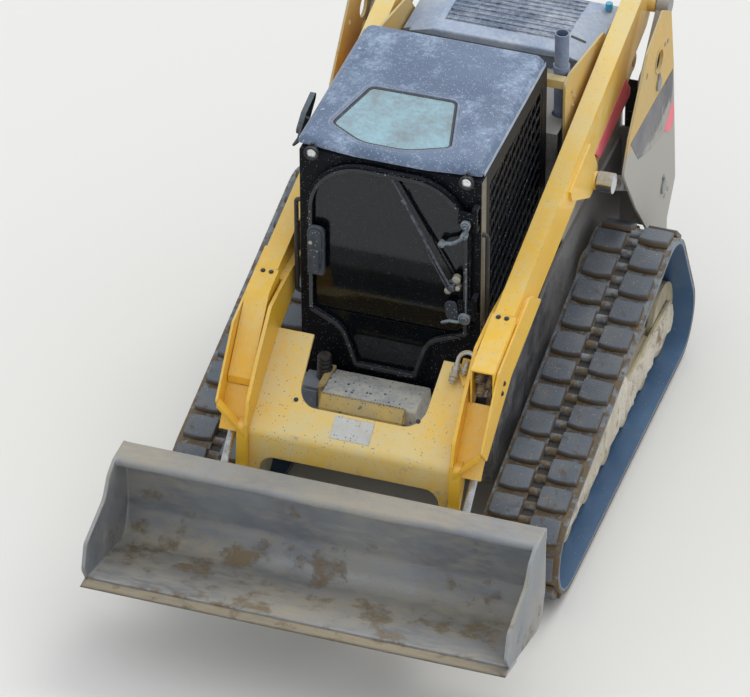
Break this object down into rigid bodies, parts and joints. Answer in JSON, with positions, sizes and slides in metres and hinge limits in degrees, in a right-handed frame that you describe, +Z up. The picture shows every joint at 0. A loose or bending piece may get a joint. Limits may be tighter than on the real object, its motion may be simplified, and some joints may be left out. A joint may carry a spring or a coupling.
{
  "type": "compact track loader",
  "caption": "Rubber-tracked compact loader with vertical-lift arms, bucket, enclosed cab with front door, raised drive sprockets, rear engine door and hood.",
  "frame": {"origin": "centre of the whole length and width on the ground", "axes": "+X machine left, -Y the way it faces, +Z up"},
  "size_m": [2.036, 3.666, 2.127],
  "materials": {
    "frame_steel": "satin",
    "machine_yellow": "satin",
    "cab_black": "satin",
    "roof_black": "satin",
    "track_rubber": "matte",
    "mud_steel": "matte",
    "roller_steel": "matte",
    "glass_tint": "clear",
    "screen_steel": "matte",
    "seat_fabric": "matte",
    "console_plastic": "matte",
    "lamp_lens": "clear",
    "hood_grey": "satin",
    "stack_steel": "matte",
    "cylinder_steel": "satin",
    "rod_chrome": "polished",
    "coupler_steel": "satin",
    "worn_steel": "worn",
    "edge_steel": "worn",
    "step_beige": "matte",
    "handle_black": "satin",
    "engine_grey": "matte"
  },
  "bodies": {
    "machine": {"main_frame": "frame_steel", "rear_bumper": "frame_steel", "engine_block": "engine_grey", "step_box": "step_beige", "exhaust_stack": "stack_steel", "cab_front": "cab_black", "cab_left": "cab_black", "cab_right": "cab_black", "cab_back": "cab_black", "cab_roof": "roof_black", "skylight": "glass_tint", "side_screens": "screen_steel", "cab_glass": "glass_tint", "seat": "seat_fabric", "control_pods": "console_plastic", "work_lamps": "lamp_lens", "handles_and_mirror": "handle_black", "track_left": "track_rubber", "track_frame_left": "mud_steel", "track_wheels_left": "roller_steel", "tower_left": "machine_yellow", "track_right": "track_rubber", "track_frame_right": "mud_steel", "track_wheels_right": "roller_steel", "tower_right": "machine_yellow"},
    "door": {"cab_door": "cab_black", "door_glass": "glass_tint", "door_fittings": "handle_black"},
    "hood_lid": {"hood": "hood_grey"},
    "engine_door": {"rear_door": "hood_grey"},
    "lift_arm": {"arm_left": "machine_yellow", "arm_right": "machine_yellow", "crossmember": "machine_yellow", "arm_covers": "machine_yellow", "aux_couplers": "coupler_steel"},
    "rear_link": {"rear_links": "cylinder_steel"},
    "control_link": {"control_links": "machine_yellow"},
    "lift_barrel": {"lift_barrels": "cylinder_steel"},
    "lift_rod": {"lift_rods": "rod_chrome"},
    "tilt_barrel": {"tilt_barrels": "cylinder_steel"},
    "tilt_rod": {"tilt_rods": "rod_chrome"},
    "bucket_body": {"bucket": "worn_steel", "cutting_edge": "edge_steel", "hitch_plate": "machine_yellow"}
  },
  "joints": [
    {"name": "lift", "type": "hinge", "parent": "machine", "child": "control_link", "pos_m": [0, 1.464, 1.549], "axis": [-1, 0, 0], "range_deg": [-6, 59]},
    {"name": "arm_follow", "type": "hinge", "parent": "control_link", "child": "lift_arm", "pos_m": [0, 0.745, 1.345], "axis": [-1, 0, 0], "range_deg": [-2.09, 0.26]},
    {"name": "rear_link_follow", "type": "hinge", "parent": "machine", "child": "rear_link", "pos_m": [0, 1.396, 1.497], "axis": [-1, 0, 0], "range_deg": [-4.3, 41.8]},
    {"name": "lift_cylinder_swing", "type": "hinge", "parent": "machine", "child": "lift_barrel", "pos_m": [0, 1.535, 0.8], "axis": [-1, 0, 0], "range_deg": [-3.03, 29.39]},
    {"name": "lift_cylinder_stroke", "type": "slide", "parent": "lift_barrel", "child": "lift_rod", "axis": [0, -0.8231, 0.5679], "range_m": [-0.0488, 0.4713]},
    {"name": "bucket_tilt", "type": "hinge", "parent": "lift_arm", "child": "bucket_body", "pos_m": [0, -1.105, 0.47], "axis": [1, 0, 0], "range_deg": [-12, 110]},
    {"name": "tilt_cylinder_swing", "type": "hinge", "parent": "lift_arm", "child": "tilt_barrel", "pos_m": [0, -0.485, 1.22], "axis": [1, 0, 0], "range_deg": [-1.15, 0.17]},
    {"name": "tilt_cylinder_stroke", "type": "slide", "parent": "tilt_barrel", "child": "tilt_rod", "axis": [0, -0.7443, -0.6679], "range_m": [-0.0377, 0.3374]},
    {"name": "cab_door_swing", "type": "hinge", "parent": "machine", "child": "door", "pos_m": [0.418, -0.441, 1.6], "axis": [0, 0, 1], "range_deg": [0, 85]},
    {"name": "engine_door_swing", "type": "hinge", "parent": "machine", "child": "engine_door", "pos_m": [-0.462, 1.739, 1.05], "axis": [0, 0, 1], "range_deg": [0, 100]},
    {"name": "hood_lift", "type": "hinge", "parent": "machine", "child": "hood_lid", "pos_m": [0, 1.191, 1.64], "axis": [1, 0, 0], "range_deg": [0, 50]}
  ],
  "couplings": [
    {"joint": "arm_follow", "follows": "lift", "ratio": -0.0345},
    {"joint": "rear_link_follow", "follows": "lift", "ratio": 0.7076},
    {"joint": "lift_cylinder_swing", "follows": "lift", "ratio": 0.4972},
    {"joint": "lift_cylinder_stroke", "follows": "lift", "m_per_rad": 0.4567},
    {"joint": "tilt_cylinder_swing", "follows": "bucket_tilt", "ratio": -0.01},
    {"joint": "tilt_cylinder_stroke", "follows": "bucket_tilt", "m_per_rad": 0.1752}
  ]
}
